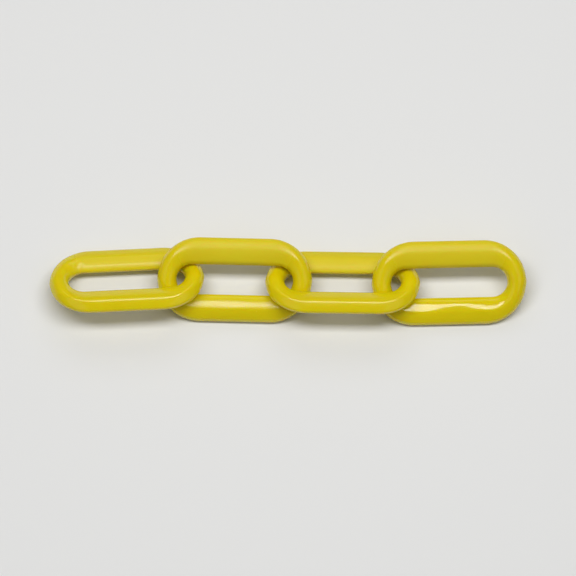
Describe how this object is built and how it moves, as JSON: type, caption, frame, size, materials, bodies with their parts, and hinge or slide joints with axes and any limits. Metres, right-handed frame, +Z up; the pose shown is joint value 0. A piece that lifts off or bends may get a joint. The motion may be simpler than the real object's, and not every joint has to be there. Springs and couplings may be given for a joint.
{
  "type": "plastic barrier chain length",
  "caption": "Length of moulded plastic barrier chain: closed oval links with round end bars and flatter side bars, interlinked and laid out loose.",
  "frame": {"origin": "on the surface the chain lies on, under the middle of its bounding box", "axes": "+X along the chain from link_1 to link_4, +Y to the back, +Z up from the surface"},
  "size_m": [0.1576, 0.027, 0.0154],
  "materials": {
    "yellow_plastic": "glossy moulded polyethylene, coloured right through"
  },
  "bodies": {
    "link_1": {"link_1": "yellow_plastic"},
    "link_2": {"link_2": "yellow_plastic"},
    "link_3": {"link_3": "yellow_plastic"},
    "link_4": {"link_4": "yellow_plastic"}
  },
  "joints": [
    {"name": "swing_1_2", "type": "hinge", "parent": "link_1", "child": "link_2", "pos_m": [-0.03099, 0.00139, 0.00738], "axis": [-0.0117, -0.4785, 0.878], "range_deg": [-90, 90]},
    {"name": "swing_2_3", "type": "hinge", "parent": "link_2", "child": "link_3", "pos_m": [0.00473, -0.00029, 0.00768], "axis": [0.0071, 0.4524, 0.8918], "range_deg": [-90, 90]},
    {"name": "swing_3_4", "type": "hinge", "parent": "link_3", "child": "link_4", "pos_m": [0.04043, -0.001, 0.00738], "axis": [0.0109, -0.4786, 0.878], "range_deg": [-90, 90]}
  ]
}
